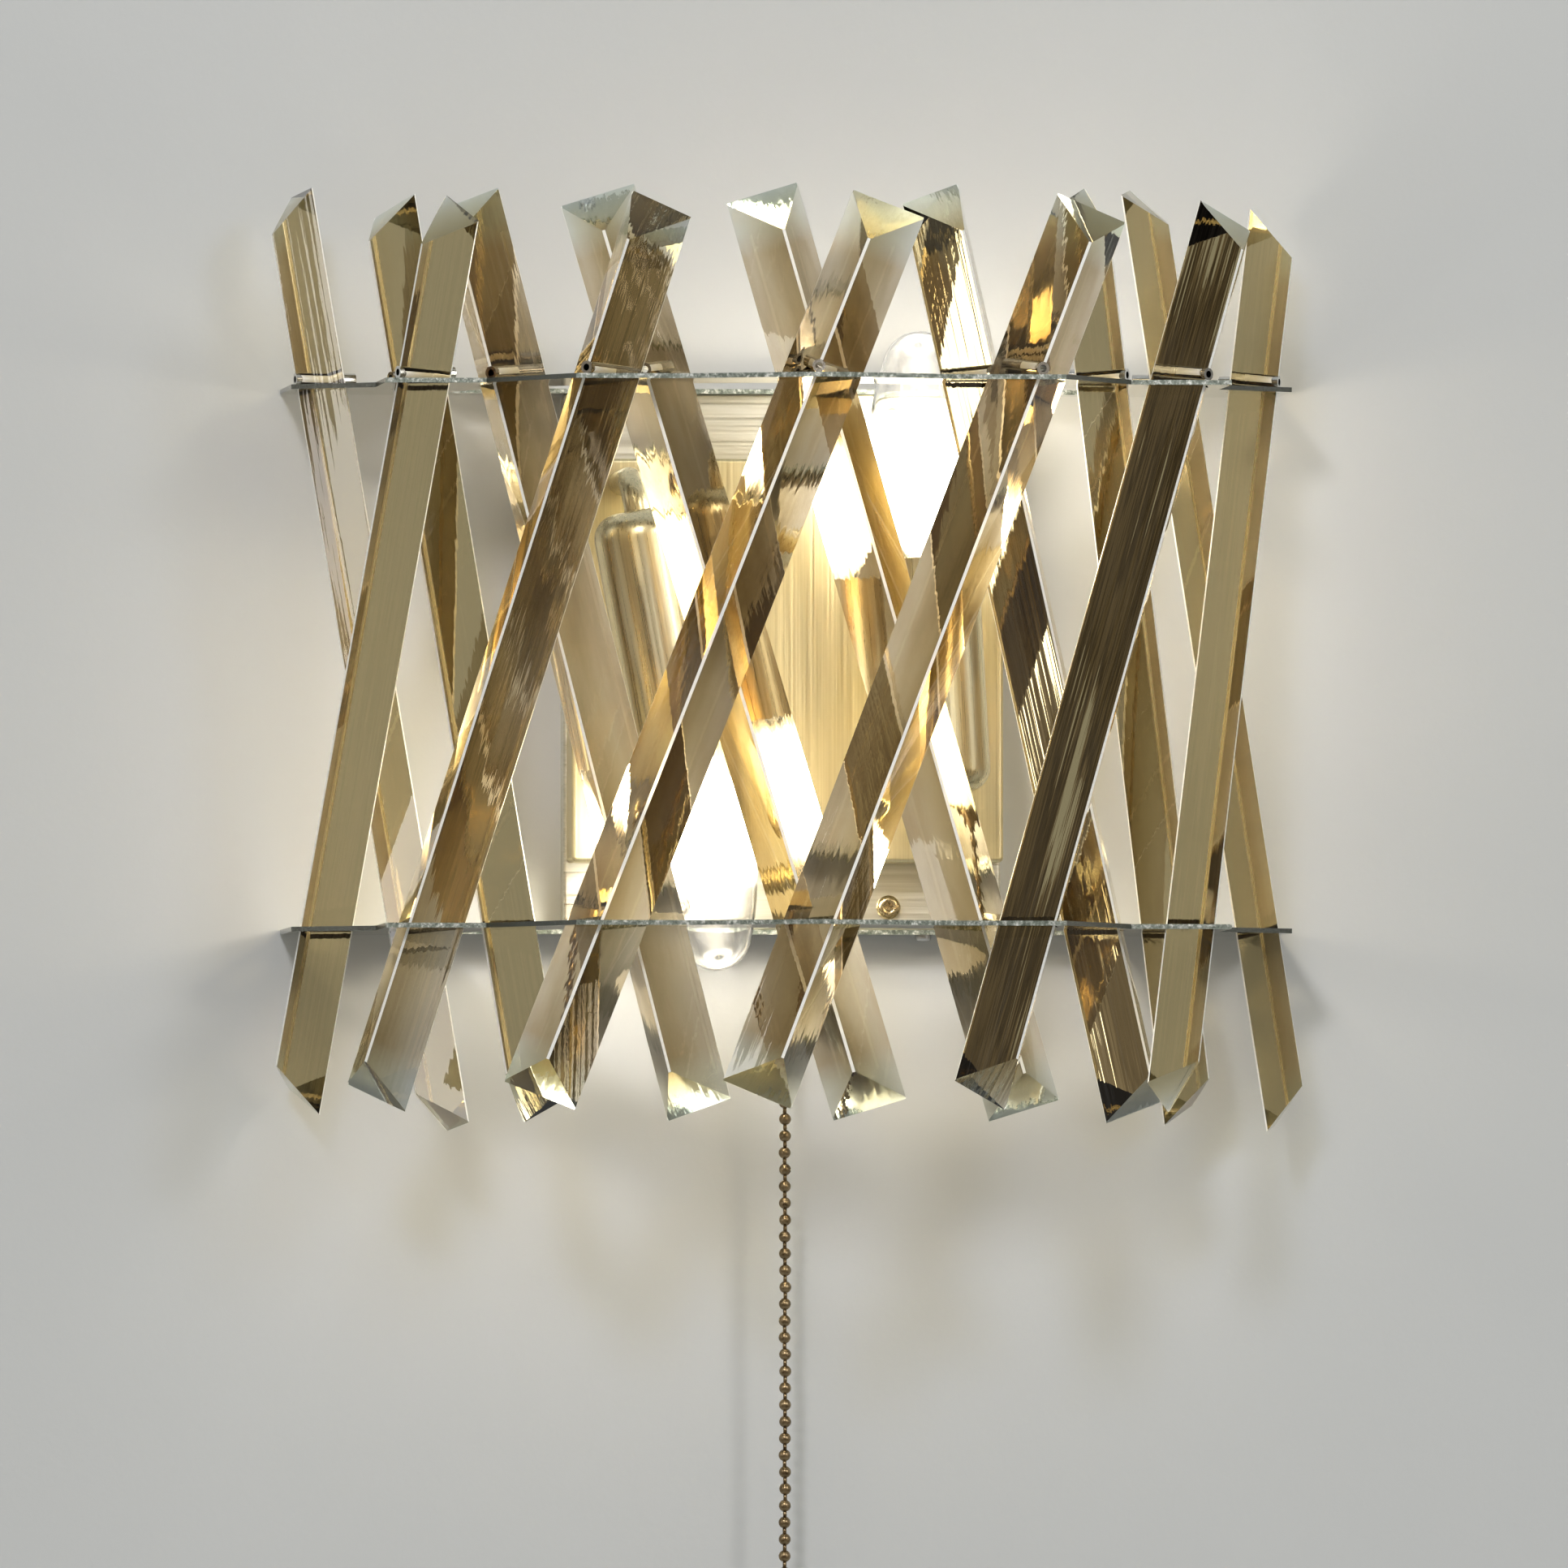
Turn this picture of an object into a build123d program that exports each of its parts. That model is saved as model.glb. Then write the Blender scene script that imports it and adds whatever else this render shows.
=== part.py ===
"""Crystal wall sconce: mitred glass prisms hung in two level plates round a brass lamp box.

Frame: millimetres, +Z up, wall plane at y = 0 with the room towards -Y, x to the right.
The origin is on the wall, midway between the two fixing slots of the wall bracket.
"""
from build123d import *
from math import cos, radians, sin, sqrt
import os

os.makedirs("parts", exist_ok=True)

# ---- driving dimensions, millimetres and degrees ----
FIT_GAP = 0.05                # round a fixed piece in its hole
EASY_GAP = 0.1
M4_TAPPED_R = 2.05            # screw holes, tapped and clear
M4_CLEAR_R = 2.2
M3_TAPPED_R = 1.55
M3_CLEAR_R = 1.7
M4_SCREW = {"head_r": 3.8, "head_h": 2.4, "shank_r": 2.0, "length": 5.0}
M3_SCREW = {"head_r": 2.6, "head_h": 1.6, "shank_r": 1.5, "length": 5.0}
EARTH_SCREW = {"head_r": 3.6, "head_h": 2.2, "shank_r": 2.0, "length": 6.0}

PLATE_LEVEL = 85.0            # plates' mid height above and below the origin
PLATE_T = 1.5
PLATE_HALF_W = 157.5
PLATE_OPENING_R = 106.0       # round front of the light opening in each plate
PLATE_STRIP_D = 18.0          # strip left along the wall, behind the light opening
PLATE_SCREW_X = 45.0
PLATE_SCREW_Y = -5.5

ROD_LENGTH = 298.0
ROD_FACE_W = 25.0             # back face of the prism
ROD_H = ROD_FACE_W / 2.0      # right-angled ridge
ROD_EDGE = 0.7                # ground edges
ROD_GAP = 0.5                 # round a rod in its plate hole
RING_Y = -10.0                # centre of both rings of rods, so that no rod meets the wall
OUTER_R = 144.5
OUTER_STEP = 27.0
INNER_R = 120.0
INNER_STEP = 24.5
LAST_STATION = 3              # stations run from -3 to +3

PIN_R = 2.0
PIN_BORE_R = 1.1
PIN_BEHIND = 7.0              # pin stands out behind the rod
PIN_GAP = 0.05
PIN_LIFT = 0.03               # a pin's rounding above the plate it rests on

PAN_W = 138.0
PAN_H = 2.0 * (PLATE_LEVEL - PLATE_T / 2.0)
PAN_D = 11.2
PAN_T = 1.2
PAN_CORNER_R = 1.5
PAN_EDGE_R = 1.0
PAN_SCREW_X = 33.5
PAN_SCREW_Z = 77.0
WIRING_W = 92.0               # opening in the pan behind the box
WIRING_H = 48.0
WIRING_CORNER_R = 4.0

BOX_W = 136.0
BOX_H = 126.6
BOX_FRONT = 32.0              # distance of the box's face from the wall
BOX_T = 1.0
BOX_CORNER_R = 1.6
BOX_EDGE_R = 1.2
SIDE_SCREW_Y = -22.0
EAR_D = 15.5                  # the pan's ears, inside the box's sides
EAR_W = 12.0

BRACKET_W = 90.0
BRACKET_T = 1.5
BRACKET_FLAT = 55.0           # half height of the part that lies on the wall
BRACKET_TOP = 82.0
WALL_SLOT_X = 35.0
WALL_SLOT_LEN = 12.0
WALL_SLOT_R = 2.6
CABLE_HOLE_R = 14.0

LAMP_Y = -68.0                # lamp axes' distance from the wall
CUP_R = 15.0
CUP_T = 0.9
CUP_LEN = 74.0
CUP_END_FILLET = 8.0
STEM_R = 4.0
STEM_BORE_R = 2.8
STEM_BEND_R = 9.0
STEM_IN_CUP = 43.0
STEM_IN_BOX = 6.0
STEM_NUT_R = 5.5
CUP_NUT_R = 6.0
LAMP_NUT_H = 3.0
HOLDER_R = 13.0
HOLDER_START = 40.0
HOLDER_END = 70.0
CAP_R = 7.0
CAP_START = 46.0
CAP_T = 0.8
CAP_CONTACT_R = 3.2
CAP_CONTACT_H = 2.5
CAP_CONE_R = 5.2
CAP_THREAD_AT = 6.0           # start of the cap's screw, from its contact
GLASS_START = 71.0
GLASS_T = 0.6
BULB_R = 17.5
BULB_BELLY = 41.0             # distances back from the bulb's tip
BULB_SHOULDER = 7.4
BULB_SHOULDER_R = 10.8
BULB_WAIST = 67.0
BULB_WAIST_R = 9.4
FILAMENT_W = 0.5
LEAD_R = 1.6
LEAD_Y = -17.2                # leads' distance from the wall inside the box
LEAD_BEND_R = 5.0
RIGHT_RUN_Z = 20.0            # level run of the right lamp's lead
BLOCK_Z = 38.0                # terminal block
BLOCK_W = 30.0
BLOCK_D = 13.0
BLOCK_H = 18.0
POLE_STEP = 10.0
TERMINAL_SCREW_R = 1.7
TERMINAL_SCREW_H = 2.0
EARTH_X = 34.0
EARTH_Z = -42.0
WASHER_R = 5.0
WASHER_BORE_R = 2.1
WASHER_T = 0.8

CHAIN_Y = -21.6
BEAD_R = 1.9
BEAD_PITCH = 5.28
BEAD_LINK_R = 0.6
CHAIN_TOP = -62.0
BEADS = 45
PULL_TRAVEL = 8.0
BELL_NECK_R = 2.2
BELL_R = 6.0
BELL_LEN = 15.0
BELL_RIM = 2.0
SWITCH_W = 22.0
SWITCH_D = 16.0
SWITCH_H = 30.0
SWITCH_CORNER_R = 2.0
SWITCH_WELL_R = 4.3           # room for the plunger and its spring
SWITCH_WELL_H = 21.0
PLUNGER_H = 3.0
PLUNGER_ROD_R = 0.9
FERRULE_R = 4.0
FERRULE_IN = 3.0              # ferrule's reach into the switch body
FERRULE_LEN = 10.0
FERRULE_BORE_R = 2.3
FERRULE_NUT_R = 6.6
FERRULE_NUT_H = 2.6
FERRULE_NUT_CHAMFER = 0.5
SPRING_R = 2.9
SPRING_WIRE_R = 0.3
SPRING_TURNS = 4
SPRING_ROOM = 2.0             # spring's length when the chain is pulled right down

# Lamps: closed end of the cup (x, z), lean from vertical, bulb down (1) or up (-1), length
# from the cup's closed end to the bulb's tip, and the terminal their lead goes to (x).
LAMPS = {
    "left": {
        "end_x": -50.4, "end_z": 45.9, "lean": 10.4, "down": 1, "length": 146.5, "pole_x": -10.0,
    },
    "right": {
        "end_x": 46.0, "end_z": -42.6, "lean": 3.3, "down": -1, "length": 145.1, "pole_x": 10.0,
    },
}


def finish(part, name):
    """Label one finished piece and write it."""
    part.label = name
    export_step(part, f"parts/{name}.step")


def station(radius, step, k, level):
    """Point on a ring of rod positions."""
    angle = radians(k * step)
    return Vector(radius * sin(angle), RING_Y - radius * cos(angle), level)


def outer(k, level):
    return station(OUTER_R, OUTER_STEP, k, level)


def inner(k, level):
    return station(INNER_R, INNER_STEP, k, level)


def rod_routes():
    """Back-face centre line of every rod where it passes the top and the bottom plate."""
    top, low, last = PLATE_LEVEL, -PLATE_LEVEL, LAST_STATION
    routes = {}
    for i in range(1, 2 * last + 1):
        k = i - last
        routes[f"rod_front_{i}"] = (outer(k, top), outer(k - 1, low))
    routes["rod_back_1"] = (outer(-last, top), inner(-last, low))
    for i in range(2, 2 * last + 2):
        k = i - 2 - last
        routes[f"rod_back_{i}"] = (inner(k, top), inner(k + 1, low))
    routes[f"rod_back_{2 * last + 2}"] = (inner(last, top), outer(last, low))
    return routes


ROUTES = rod_routes()


def outward_of(route):
    """Level direction from the rings' centre to the middle of a rod."""
    middle = (route[0] + route[1]) * 0.5
    return Vector(middle.X, middle.Y - RING_Y, 0.0).normalized()


def rod_directions(route):
    """Axis of a rod and the direction in which its ridge points."""
    axis = (route[0] - route[1]).normalized()
    outward = outward_of(route)
    ridge = (outward - axis * outward.dot(axis)).normalized()
    return axis, ridge


def rod_section_plane(route):
    """Plane across a rod at its middle, x towards the ridge."""
    axis, ridge = rod_directions(route)
    return Plane(origin=(route[0] + route[1]) * 0.5, x_dir=ridge, z_dir=axis)


def pin_plane(route):
    """Plane at the back end of a rod's level pin, which lies on the top plate."""
    axis = rod_directions(route)[0]
    outward = outward_of(route)
    rise = PLATE_T / 2.0 + PIN_R + PIN_LIFT
    centre = route[0] + axis * (rise / axis.Z)
    return Plane(origin=centre - outward * PIN_BEHIND, x_dir=(0, 0, 1), z_dir=outward)


def lamp_plane(lamp):
    """Plane across a lamp at the closed end of its cup, z towards the bulb."""
    lean = radians(lamp["lean"])
    way = Vector(sin(lean), 0, -cos(lean)) * lamp["down"]
    return Plane(origin=(lamp["end_x"], LAMP_Y, lamp["end_z"]), x_dir=(0, 1, 0), z_dir=way)


def stem_corner(lamp):
    """Where the stem's run off the box would meet the lamp axis."""
    plane = lamp_plane(lamp)
    return plane.origin - plane.z_dir * (STEM_BEND_R + 1.0)


# ---- wall bracket ----
with BuildPart() as wall_bracket:
    riser_d = PAN_D - PAN_T
    with Locations((0, -BRACKET_T / 2, 0)):
        Box(BRACKET_W, BRACKET_T, 2 * BRACKET_FLAT)
    for side in (1, -1):
        with Locations((0, -riser_d / 2, side * (BRACKET_FLAT - BRACKET_T / 2))):
            Box(BRACKET_W, riser_d, BRACKET_T)
        tab_mid = side * (BRACKET_FLAT - BRACKET_T + BRACKET_TOP) / 2
        with Locations((0, -riser_d + BRACKET_T / 2, tab_mid)):
            Box(BRACKET_W, BRACKET_T, BRACKET_TOP - BRACKET_FLAT + BRACKET_T)
    with BuildSketch(Plane.XZ):
        with Locations((-WALL_SLOT_X, 0), (WALL_SLOT_X, 0)):
            SlotOverall(WALL_SLOT_LEN, 2 * WALL_SLOT_R)
        Circle(CABLE_HOLE_R)
    extrude(amount=4 * BRACKET_T, both=True, mode=Mode.SUBTRACT)
    with BuildSketch(Plane.XZ):
        with GridLocations(2 * PAN_SCREW_X, 2 * PAN_SCREW_Z, 2, 2):
            Circle(M4_TAPPED_R)
    extrude(amount=2 * PAN_D, both=True, mode=Mode.SUBTRACT)
finish(wall_bracket.part, "wall_bracket")

# ---- base pan: a shallow folded tray, with two ears for the box ----
with BuildPart() as base_pan:
    with Locations((0, -PAN_D / 2, 0)):
        Box(PAN_W, PAN_D, PAN_H)
    fillet(base_pan.edges().filter_by(Axis.Y), PAN_CORNER_R)
    fillet(base_pan.faces().sort_by(Axis.Y)[0].edges(), PAN_EDGE_R)
    with Locations((0, -(PAN_D - PAN_T) / 2, 0)):
        Box(PAN_W - 2 * PAN_T, PAN_D - PAN_T, PAN_H - 2 * PAN_T, mode=Mode.SUBTRACT)
    with BuildSketch(Plane.XZ):
        RectangleRounded(WIRING_W, WIRING_H, WIRING_CORNER_R)
        with GridLocations(2 * PAN_SCREW_X, 2 * PAN_SCREW_Z, 2, 2):
            Circle(M4_CLEAR_R)
        with Locations((EARTH_X, EARTH_Z)):
            Circle(M4_TAPPED_R)
    extrude(amount=2 * PAN_D, mode=Mode.SUBTRACT)
    ear_x = BOX_W / 2 - BOX_T - FIT_GAP - PAN_T / 2
    for side in (1, -1):
        with Locations((side * ear_x, -PAN_D - EAR_D / 2 + PAN_T / 2, 0)):
            Box(PAN_T, EAR_D + PAN_T, EAR_W)
    with BuildSketch(Plane.YZ):
        with Locations((SIDE_SCREW_Y, 0)):
            Circle(M3_TAPPED_R)
    extrude(amount=PAN_W, both=True, mode=Mode.SUBTRACT)
    with BuildSketch(Plane.XY):
        with Locations((-PLATE_SCREW_X, PLATE_SCREW_Y), (PLATE_SCREW_X, PLATE_SCREW_Y)):
            Circle(M3_TAPPED_R)
    extrude(amount=PAN_H, both=True, mode=Mode.SUBTRACT)
finish(base_pan.part, "base_pan")


def screw_group(name, planes, head_r, head_h, shank_r, length):
    """One node of like cross-recess screws; each head seats on its plane."""
    with BuildPart() as group:
        for plane in planes:
            side_view = Plane(origin=plane.origin, x_dir=plane.x_dir, z_dir=-plane.y_dir)
            crown_r = 0.4 * head_r
            rim_h = 0.35 * head_h
            slot_len = 1.2 * head_r
            slot_w = 0.26 * head_r
            slot_depth = 0.6 * head_h
            with BuildSketch(side_view):
                with BuildLine():
                    Polyline((0, head_h), (0, -length), (shank_r, -length), (shank_r, 0))
                    Polyline((shank_r, 0), (head_r, 0), (head_r, rim_h))
                    TangentArc((head_r, rim_h), (crown_r, head_h), tangent=(0, 1))
                    Line((crown_r, head_h), (0, head_h))
                make_face()
            revolve(axis=Axis(plane.origin, plane.z_dir))
            with BuildSketch(plane.offset(head_h)):
                Rectangle(slot_len, slot_w)
                Rectangle(slot_w, slot_len)
            extrude(amount=-slot_depth, mode=Mode.SUBTRACT)
    finish(group.part, name)


front = [
    Plane(origin=(x, -PAN_D, z), x_dir=(1, 0, 0), z_dir=(0, -1, 0))
    for x in (-PAN_SCREW_X, PAN_SCREW_X)
    for z in (-PAN_SCREW_Z, PAN_SCREW_Z)
]
screw_group("pan_screws", front, **M4_SCREW)

# ---- cover box ----
with BuildPart() as cover_box:
    depth = BOX_FRONT - PAN_D
    with Locations((0, -PAN_D - depth / 2, 0)):
        Box(BOX_W, depth, BOX_H)
    fillet(cover_box.edges().filter_by(Axis.Y), BOX_CORNER_R)
    fillet(cover_box.faces().sort_by(Axis.Y)[0].edges(), BOX_EDGE_R)
    with Locations((0, -PAN_D - (depth - BOX_T) / 2, 0)):
        Box(BOX_W - 2 * BOX_T, depth - BOX_T, BOX_H - 2 * BOX_T, mode=Mode.SUBTRACT)
    with BuildSketch(Plane.XZ):
        for lamp in LAMPS.values():
            corner = stem_corner(lamp)
            with Locations((corner.X, corner.Z)):
                Circle(STEM_R + EASY_GAP)
    extrude(amount=2 * BOX_FRONT, mode=Mode.SUBTRACT)
    with BuildSketch(Plane.YZ):
        with Locations((SIDE_SCREW_Y, 0)):
            Circle(M3_CLEAR_R)
    extrude(amount=BOX_W, both=True, mode=Mode.SUBTRACT)
    with BuildSketch(Plane.XY):
        with Locations((0, CHAIN_Y)):
            Circle(FERRULE_R + EASY_GAP)
    extrude(amount=-BOX_H, mode=Mode.SUBTRACT)
finish(cover_box.part, "cover_box")

sides = [
    Plane(origin=(side * BOX_W / 2, SIDE_SCREW_Y, 0), x_dir=(0, 1, 0), z_dir=(side, 0, 0))
    for side in (1, -1)
]
screw_group("cover_screws", sides, **M3_SCREW)

# ---- the two plates ----
HALF_OUTLINE = [
    (0, -173.0),
    (41.5, -155.0),
    (76.5, -155.0),
    (101.0, -110.0),
    (132.5, -110.0),
    (132.5, -68.0),
    (PLATE_HALF_W, -48.0),
    (PLATE_HALF_W, 0),
]


def plate(name, level):
    """Level plate with its faceted front, light opening, rod holes and two screw holes."""
    mirrored = [(-x, y) for x, y in reversed(HALF_OUTLINE[1:])]
    lower = Plane.XY.offset(level - PLATE_T / 2)
    with BuildPart() as sheet:
        with BuildSketch(lower):
            with BuildLine():
                Polyline(*HALF_OUTLINE, *mirrored, close=True)
            make_face()
            with BuildLine(mode=Mode.PRIVATE) as opening:
                reach = sqrt(PLATE_OPENING_R**2 - (PLATE_STRIP_D + RING_Y) ** 2)
                left_end = (-reach, -PLATE_STRIP_D)
                right_end = (reach, -PLATE_STRIP_D)
                ThreePointArc(left_end, (0, RING_Y - PLATE_OPENING_R), right_end)
                Line(right_end, left_end)
            make_face(opening.edges(), mode=Mode.SUBTRACT)
            with Locations((-PLATE_SCREW_X, PLATE_SCREW_Y), (PLATE_SCREW_X, PLATE_SCREW_Y)):
                Circle(M3_CLEAR_R, mode=Mode.SUBTRACT)
        extrude(amount=PLATE_T)
        for route in ROUTES.values():
            with BuildSketch(rod_section_plane(route)):
                Polygon(
                    (0, ROD_FACE_W / 2), (0, -ROD_FACE_W / 2), (ROD_H, 0), align=None
                )
                offset(amount=ROD_GAP, kind=Kind.INTERSECTION)
            extrude(amount=ROD_LENGTH, both=True, mode=Mode.SUBTRACT)
    finish(sheet.part, name)


plate("top_plate", PLATE_LEVEL)
plate("bottom_plate", -PLATE_LEVEL)

plate_out = PLATE_LEVEL + PLATE_T / 2
seats = [
    Plane(origin=(x, PLATE_SCREW_Y, side * plate_out), x_dir=(1, 0, 0), z_dir=(0, 0, side))
    for x in (-PLATE_SCREW_X, PLATE_SCREW_X)
    for side in (1, -1)
]
screw_group("plate_screws", seats, **M3_SCREW)

# ---- the crystal rods ----
for rod_name, route in ROUTES.items():
    section = rod_section_plane(route)
    profile_plane = Plane(origin=section.origin, x_dir=section.x_dir, z_dir=section.y_dir)
    half = ROD_LENGTH / 2
    with BuildPart() as rod:
        with BuildSketch(section) as tri:
            Polygon((0, ROD_FACE_W / 2), (0, -ROD_FACE_W / 2), (ROD_H, 0), align=None)
            chamfer(tri.vertices(), ROD_EDGE)
        extrude(amount=half, both=True)
        with BuildSketch(profile_plane):
            Polygon((0, half), (0, -half), (ROD_H, ROD_H - half), (ROD_H, half - ROD_H), align=None)
        extrude(amount=ROD_FACE_W, both=True, mode=Mode.INTERSECT)
        with BuildSketch(pin_plane(route)):
            Circle(PIN_R + PIN_GAP)
        extrude(amount=3 * ROD_H, mode=Mode.SUBTRACT)
    finish(rod.part, rod_name)

with BuildPart() as rod_pins:
    for route in ROUTES.values():
        with BuildSketch(pin_plane(route)):
            Circle(PIN_R)
            Circle(PIN_BORE_R, mode=Mode.SUBTRACT)
        extrude(amount=PIN_BEHIND + ROD_H)
finish(rod_pins.part, "rod_pins")

# ---- lamps ----
for side_name, lamp in LAMPS.items():
    base = lamp_plane(lamp)
    corner = stem_corner(lamp)
    box_inside = Vector(corner.X, -(BOX_FRONT - BOX_T - STEM_IN_BOX), corner.Z)
    stem_end = base.origin + base.z_dir * STEM_IN_CUP

    with BuildPart() as stem:
        with BuildLine() as stem_path:
            FilletPolyline(box_inside, corner, stem_end, radius=STEM_BEND_R)
        with BuildSketch(Plane(origin=box_inside, z_dir=(0, -1, 0))):
            Circle(STEM_R)
            Circle(STEM_BORE_R, mode=Mode.SUBTRACT)
        sweep(path=stem_path.wire())
    finish(stem.part, f"stem_{side_name}")

    # Each profile is drawn with x as the radius and y along the lamp.
    side_plane = Plane(origin=base.origin, x_dir=base.x_dir, z_dir=-base.y_dir)
    axis = Axis(base.origin, base.z_dir)

    with BuildPart() as cup:
        with BuildSketch(side_plane):
            with BuildLine():
                r_end = CUP_END_FILLET
                corner_in = (CUP_R, r_end)
                Line((STEM_R + FIT_GAP, 0), (CUP_R - r_end, 0))
                RadiusArc((CUP_R - r_end, 0), corner_in, -r_end)
                Line(corner_in, (CUP_R, CUP_LEN))
                Line((CUP_R, CUP_LEN), (CUP_R - CUP_T, CUP_LEN))
                inner_r = r_end - CUP_T
                Line((CUP_R - CUP_T, CUP_LEN), (CUP_R - CUP_T, r_end))
                RadiusArc((CUP_R - CUP_T, r_end), (CUP_R - r_end, CUP_T), inner_r)
                Line((CUP_R - r_end, CUP_T), (STEM_R + FIT_GAP, CUP_T))
                Line((STEM_R + FIT_GAP, CUP_T), (STEM_R + FIT_GAP, 0))
            make_face()
        revolve(axis=axis)
    finish(cup.part, f"cup_{side_name}")

    with BuildPart() as holder:
        with BuildSketch(base.offset(HOLDER_START)):
            Circle(HOLDER_R)
        extrude(amount=HOLDER_END - HOLDER_START)
        with BuildSketch(base.offset(CAP_START - EASY_GAP)):
            Circle(CAP_R + 3 * EASY_GAP)
        extrude(amount=HOLDER_END, mode=Mode.SUBTRACT)
        with BuildSketch(base):
            Circle(STEM_R + FIT_GAP)
        extrude(amount=HOLDER_END, mode=Mode.SUBTRACT)
    finish(holder.part, f"holder_{side_name}")

    with BuildPart() as cap:
        with BuildSketch(base.offset(CAP_START)):
            Circle(CAP_CONTACT_R)
        extrude(amount=CAP_CONTACT_H)
        with BuildSketch(base.offset(CAP_START + CAP_CONTACT_H)):
            Circle(CAP_CONE_R)
        with BuildSketch(base.offset(CAP_START + CAP_THREAD_AT)):
            Circle(CAP_R)
        loft()
        with BuildSketch(base.offset(CAP_START + CAP_THREAD_AT)):
            Circle(CAP_R)
        extrude(amount=GLASS_START - CAP_START - CAP_THREAD_AT)
        with BuildSketch(base.offset(CAP_START + CAP_THREAD_AT + 2.5 * CAP_T)):
            Circle(CAP_R - CAP_T)
        extrude(amount=GLASS_START, mode=Mode.SUBTRACT)
    finish(cap.part, f"bulb_cap_{side_name}")

    with BuildPart() as glass:
        for inset, mode in ((0, Mode.ADD), (GLASS_T, Mode.SUBTRACT)):
            tip = lamp["length"] - inset
            shoulder = (BULB_SHOULDER_R - inset, tip - BULB_SHOULDER)
            belly = (BULB_R - inset, tip - BULB_BELLY + inset)
            waist = (BULB_WAIST_R - inset, tip - BULB_WAIST + inset)
            neck = (CAP_R - 0.2 - inset, GLASS_START)
            with BuildSketch(side_plane):
                with BuildLine():
                    TangentArc((0, tip), shoulder, tangent=(1, 0))
                    TangentArc(belly, shoulder, tangent=(0, 1))
                    TangentArc(belly, waist, tangent=(0, -1))
                    Line(waist, neck)
                    Line(neck, (0, GLASS_START))
                    Line((0, GLASS_START), (0, tip))
                make_face()
            revolve(axis=axis, mode=mode)
    finish(glass.part, f"bulb_glass_{side_name}")

    with BuildPart() as support:
        with BuildSketch(side_plane):
            with BuildLine():
                Polyline(
                    (0, GLASS_START - 0.5), (4.5, GLASS_START - 0.5), (2.6, GLASS_START + 5.0),
                    (1.7, GLASS_START + 12.0), (1.7, GLASS_START + 22.0), (0, GLASS_START + 23.5),
                    close=True,
                )
            make_face()
        revolve(axis=axis)
    finish(support.part, f"bulb_support_{side_name}")

    with BuildPart() as filament:
        start = GLASS_START + 16.0
        with BuildSketch(side_plane):
            with BuildLine():
                for way in (1, -1):
                    Polyline(
                        (way * 2.1, start), (way * 5.0, start + 10.0), (way * 6.0, start + 22.0)
                    )
                Polyline((-6.0, start + 22.0), (-3.0, start + 8.0), (0, start + 24.0))
                Polyline((0, start + 24.0), (3.0, start + 8.0), (6.0, start + 22.0))
            trace(line_width=FILAMENT_W)
        extrude(amount=FILAMENT_W / 2, both=True)
    finish(filament.part, f"filament_{side_name}")

    # Two-core lead: terminal block, round inside the box, through the stem, into the holder.
    pole = lamp["pole_x"]
    down = lamp["down"]
    run_z = corner.Z if down > 0 else RIGHT_RUN_Z
    lead_points = [
        (pole, LEAD_Y, BLOCK_Z + down * (BLOCK_H / 2 - 1.0)),
        (pole, LEAD_Y, run_z),
        (corner.X, LEAD_Y, run_z),
    ]
    lead_radii = [LEAD_BEND_R, LEAD_BEND_R]
    if down < 0:
        lead_points.append((corner.X, LEAD_Y, corner.Z))
        lead_radii.append(LEAD_BEND_R)
    lead_points += [corner, base.origin + base.z_dir * (STEM_IN_CUP + 2.0)]
    lead_radii.append(STEM_BEND_R)
    with BuildPart() as lead:
        with BuildLine():
            lead_line = FilletPolyline(*lead_points, radius=lead_radii)
        with BuildSketch(Plane(origin=lead_line @ 0, z_dir=lead_line % 0)):
            Circle(LEAD_R)
        sweep(path=lead_line)
    finish(lead.part, f"lamp_lead_{side_name}")

with BuildPart() as stem_nuts:
    for lamp in LAMPS.values():
        corner = stem_corner(lamp)
        seat = Plane(
            origin=(corner.X, -(BOX_FRONT - BOX_T), corner.Z), x_dir=(1, 0, 0), z_dir=(0, 1, 0)
        )
        with BuildSketch(seat):
            RegularPolygon(STEM_NUT_R, 6, major_radius=False)
            Circle(STEM_R + FIT_GAP, mode=Mode.SUBTRACT)
        extrude(amount=LAMP_NUT_H)
finish(stem_nuts.part, "stem_nuts")

with BuildPart() as cup_nuts:
    for lamp in LAMPS.values():
        with BuildSketch(lamp_plane(lamp).offset(CUP_T)):
            RegularPolygon(CUP_NUT_R, 6, major_radius=False)
            Circle(STEM_R + FIT_GAP, mode=Mode.SUBTRACT)
        extrude(amount=LAMP_NUT_H)
finish(cup_nuts.part, "cup_nuts")

# ---- pull switch and chain ----
box_floor = -BOX_H / 2
ferrule_top = box_floor + BOX_T + FERRULE_IN
with BuildPart() as switch_body:
    with Locations((0, CHAIN_Y, box_floor + BOX_T + SWITCH_H / 2)):
        Box(SWITCH_W, SWITCH_D, SWITCH_H)
    fillet(switch_body.edges().filter_by(Axis.Z), SWITCH_CORNER_R)
    with BuildSketch(Plane.XY.offset(box_floor + BOX_T)):
        with Locations((0, CHAIN_Y)):
            Circle(FERRULE_R + FIT_GAP)
    extrude(amount=FERRULE_IN, mode=Mode.SUBTRACT)
    with BuildSketch(Plane.XY.offset(box_floor + BOX_T + FERRULE_IN)):
        with Locations((0, CHAIN_Y)):
            Circle(SWITCH_WELL_R)
    extrude(amount=SWITCH_WELL_H, mode=Mode.SUBTRACT)
finish(switch_body.part, "switch_body")

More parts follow.
